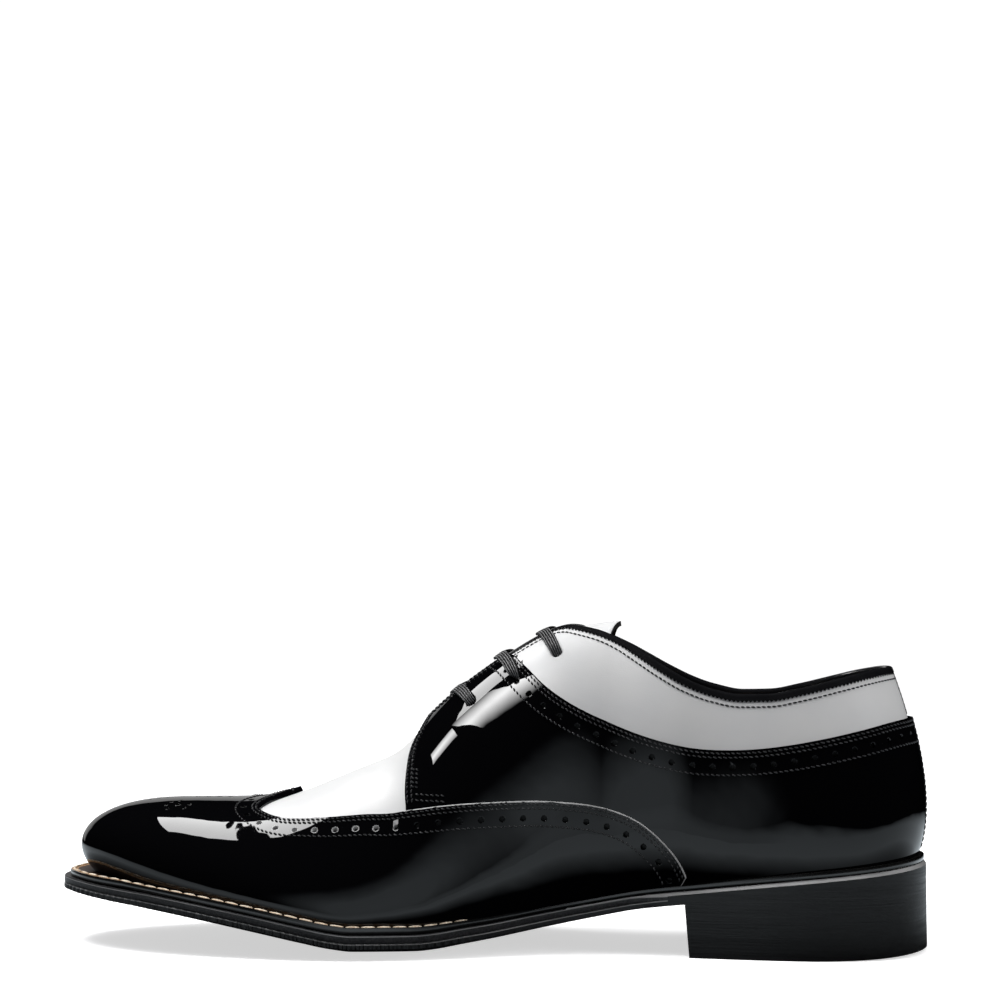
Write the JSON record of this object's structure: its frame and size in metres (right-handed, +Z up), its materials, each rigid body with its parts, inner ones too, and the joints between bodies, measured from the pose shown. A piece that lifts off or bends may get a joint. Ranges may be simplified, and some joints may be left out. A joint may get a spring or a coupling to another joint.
{
  "type": "oxford shoe",
  "caption": "Low lace-up dress shoe with a black patent wing tip and quarters over white leather, a welted leather sole and a block heel.",
  "frame": {"origin": "on the floor, under the middle of the shoe's bounding box", "axes": "+Z up, +X towards the heel, -X towards the toe, -Y towards the medial (inner) side of the foot"},
  "size_m": [0.308, 0.1074, 0.1149],
  "materials": {
    "white_leather": "smooth, satin",
    "black_patent": "patent, mirror gloss",
    "black_edge": "waxed, semi-gloss",
    "sole_grey": "satin",
    "tan_lining": "smooth, matte",
    "black_cord": "waxed braid",
    "pale_thread": "waxed thread"
  },
  "bodies": {
    "root": {"upper": "white_leather", "tongue": "white_leather", "wing_tip": "black_patent", "quarter_medial": "black_patent", "quarter_lateral": "black_patent", "collar_binding": "black_edge", "welt": "black_edge", "heel": "black_edge", "outsole": "sole_grey", "insole": "tan_lining", "lace_low": "black_cord", "lace_mid": "black_cord", "lace_top": "black_cord"}
  },
  "joints": []
}
